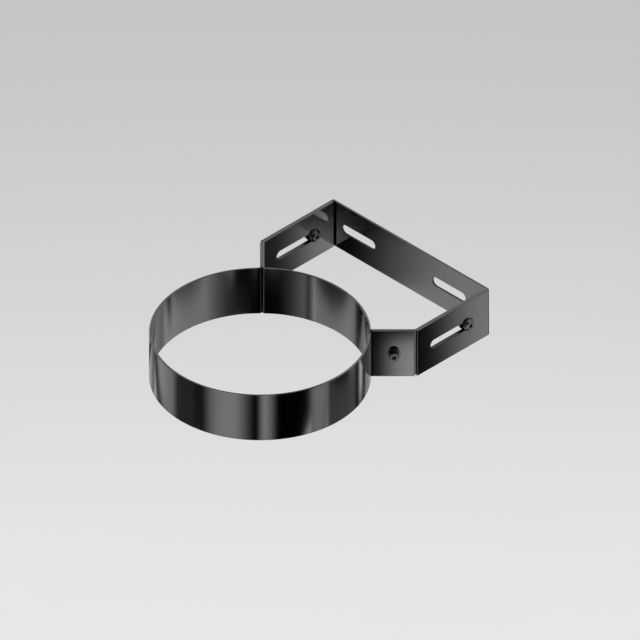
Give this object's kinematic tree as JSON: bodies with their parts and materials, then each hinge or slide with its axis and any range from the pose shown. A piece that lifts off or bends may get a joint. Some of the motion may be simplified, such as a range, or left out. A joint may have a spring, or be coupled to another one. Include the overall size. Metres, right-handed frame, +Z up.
{
  "type": "flue wall collar",
  "caption": "Round clamp collar for a flue pipe on a slotted bracket that bolts to a wall and slides out to set the gap to the wall.",
  "frame": {"origin": "on the flue's axis, halfway up the strips", "axes": "+X along the wall to the right as seen from the room, +Y towards the wall, +Z up the flue"},
  "size_m": [0.1638, 0.2245, 0.038],
  "materials": {
    "black_paint": "satin black stove paint on steel strip",
    "blackened_steel": "blackened steel fasteners"
  },
  "bodies": {
    "wall_frame": {"wall_bracket": "black_paint"},
    "collar": {"pipe_saddle": "black_paint", "front_band": "black_paint", "clamp_screw_right": "blackened_steel", "clamp_head_washer_right": "blackened_steel", "clamp_nut_washer_right": "blackened_steel", "clamp_spring_washer_right": "blackened_steel", "clamp_nut_right": "blackened_steel", "clamp_screw_left": "blackened_steel", "clamp_head_washer_left": "blackened_steel", "clamp_nut_washer_left": "blackened_steel", "clamp_spring_washer_left": "blackened_steel", "clamp_nut_left": "blackened_steel", "slide_bolt_right": "blackened_steel", "slide_washer_right": "blackened_steel", "slide_spring_washer_right": "blackened_steel", "slide_nut_right": "blackened_steel", "slide_bolt_left": "blackened_steel", "slide_washer_left": "blackened_steel", "slide_spring_washer_left": "blackened_steel", "slide_nut_left": "blackened_steel"}
  },
  "joints": [
    {"name": "reach_slide", "type": "slide", "parent": "wall_frame", "child": "collar", "axis": [0, -1, 0], "range_m": [0, 0.033]}
  ]
}
